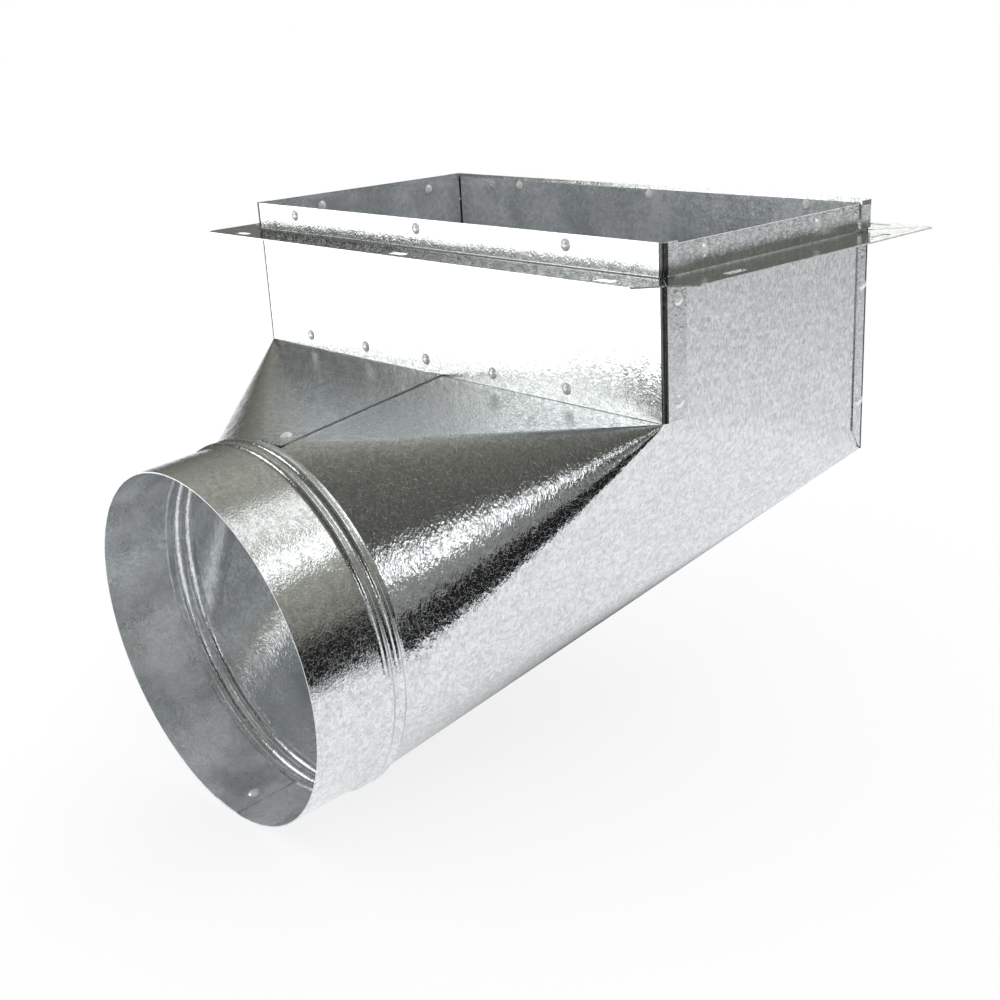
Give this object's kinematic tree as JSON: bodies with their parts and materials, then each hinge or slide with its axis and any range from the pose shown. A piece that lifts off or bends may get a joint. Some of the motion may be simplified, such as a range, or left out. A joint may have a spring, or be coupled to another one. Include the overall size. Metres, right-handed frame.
{
  "type": "duct register box",
  "caption": "Galvanised sheet-steel register box with a screw flange round its mouth and a square-to-round transition to a ribbed round collar.",
  "frame": {"origin": "centre of the register opening, in the plane of the flange's underside", "axes": "+Z out of the register opening, +X along the long side of the opening, and the round collar leaves towards -Y"},
  "size_m": [0.349, 0.3351, 0.2692],
  "materials": {
    "galvanised_sheet": "bright zinc-coated sheet with fine spangle",
    "rivet_steel": "bright plated rivet"
  },
  "bodies": {
    "root": {"right_body_half": "galvanised_sheet", "left_body_half": "galvanised_sheet", "front_panel": "galvanised_sheet", "back_panel": "galvanised_sheet", "collar": "galvanised_sheet", "front_flange_angle": "galvanised_sheet", "back_flange_angle": "galvanised_sheet", "right_flange_angle": "galvanised_sheet", "left_flange_angle": "galvanised_sheet", "front_flange_rivets": "rivet_steel", "back_flange_rivets": "rivet_steel", "right_flange_rivets": "rivet_steel", "left_flange_rivets": "rivet_steel", "front_panel_rivets": "rivet_steel", "back_panel_rivets": "rivet_steel", "front_seam_rivets": "rivet_steel", "back_seam_rivets": "rivet_steel", "lap_seam_rivets": "rivet_steel", "collar_rivet": "rivet_steel"}
  },
  "joints": []
}
